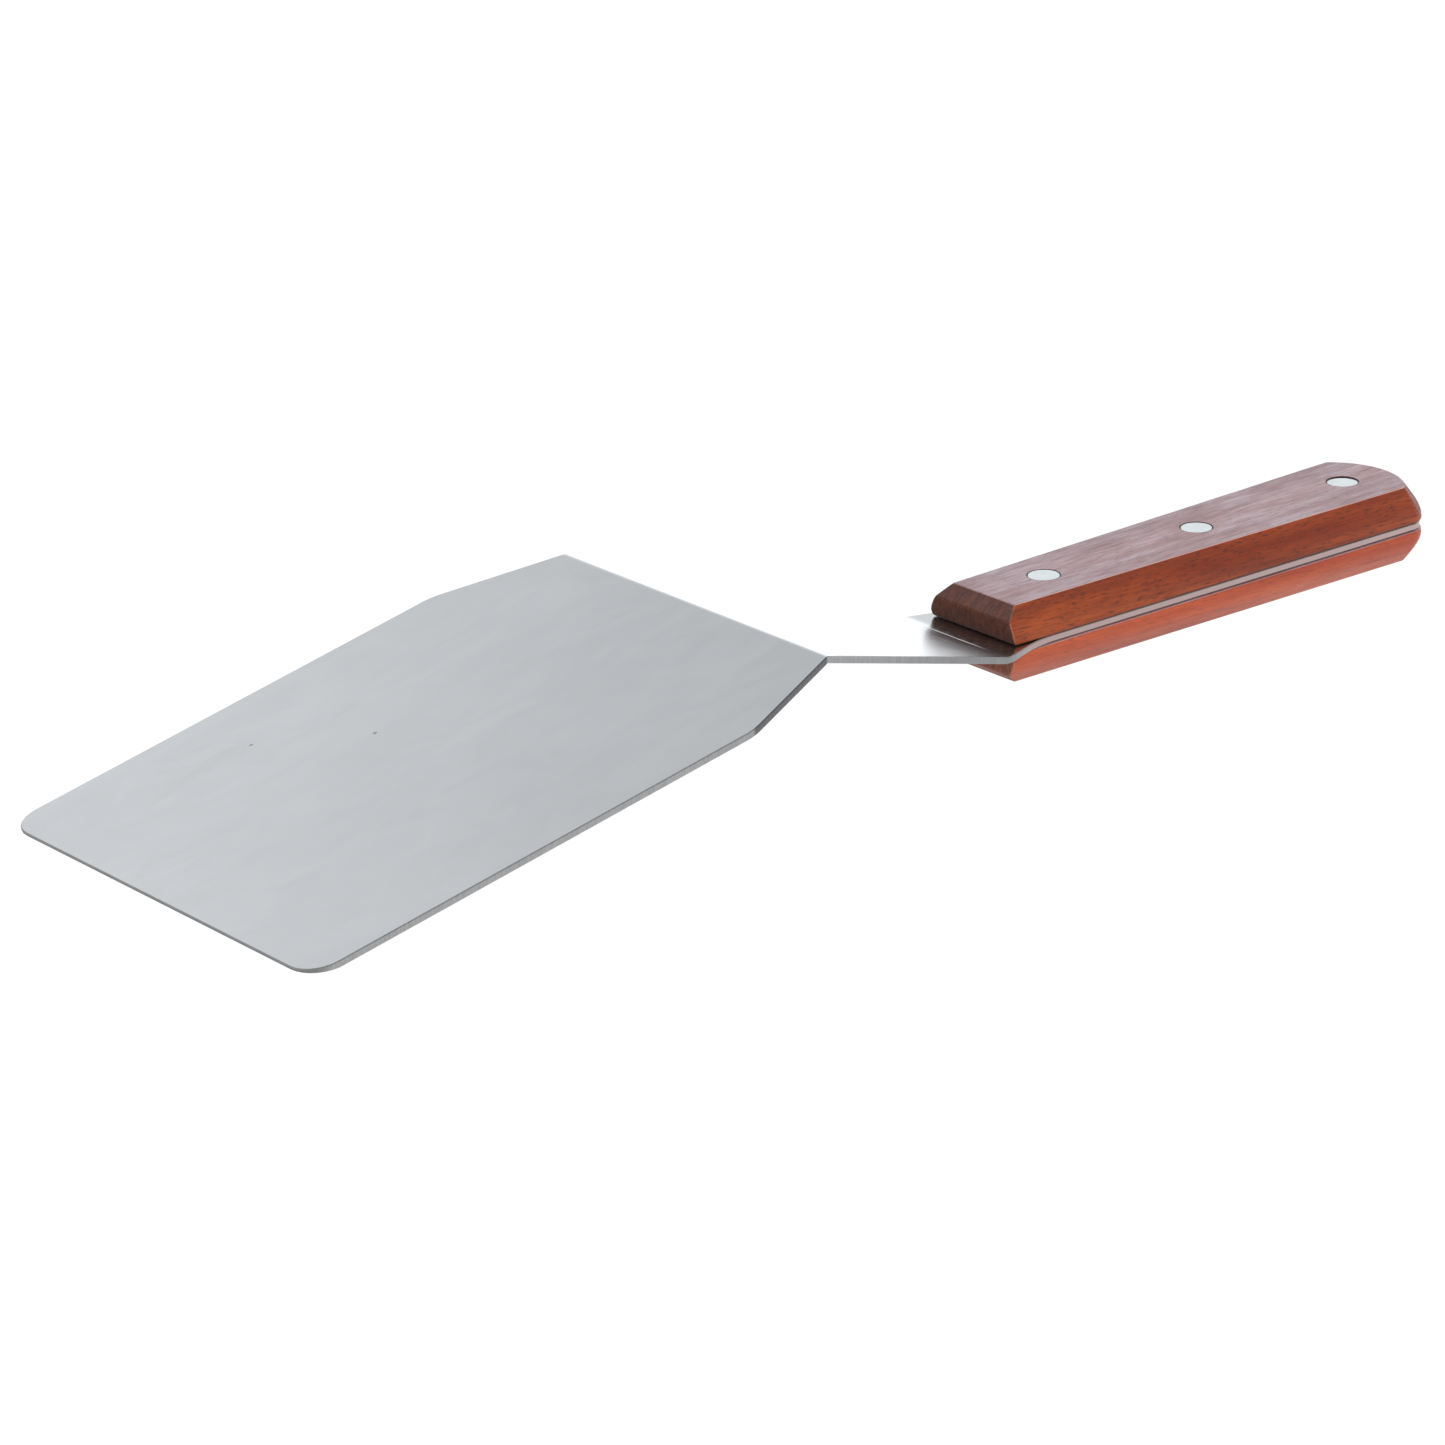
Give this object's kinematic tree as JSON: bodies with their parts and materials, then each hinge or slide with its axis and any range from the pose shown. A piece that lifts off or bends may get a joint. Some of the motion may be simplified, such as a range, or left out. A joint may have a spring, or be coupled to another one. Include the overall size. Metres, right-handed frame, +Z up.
{
  "type": "grill spatula",
  "caption": "Solid offset grill turner with a broad flat steel blade, a tapering bent shank and a riveted hardwood handle on a full tang.",
  "frame": {"origin": "middle of the footprint at bench height, with the turner lying upside-down as pictured", "axes": "+X from the blade tip to the butt of the handle, +Z up, XZ the plane of symmetry"},
  "size_m": [0.3294, 0.102, 0.0311],
  "materials": {
    "satin_steel": "satin stainless blade with a brighter polished shank",
    "oiled_hardwood": "red-brown hardwood, oiled, fine lengthwise grain",
    "rivet_metal": "plain pale metal rivet heads"
  },
  "bodies": {
    "root": {"blade_shank_tang": "satin_steel", "scale_upper": "oiled_hardwood", "scale_lower": "oiled_hardwood", "rivet_front_tube": "rivet_metal", "rivet_front_pin": "rivet_metal", "rivet_middle_tube": "rivet_metal", "rivet_middle_pin": "rivet_metal", "rivet_butt_tube": "rivet_metal", "rivet_butt_pin": "rivet_metal"}
  },
  "joints": []
}
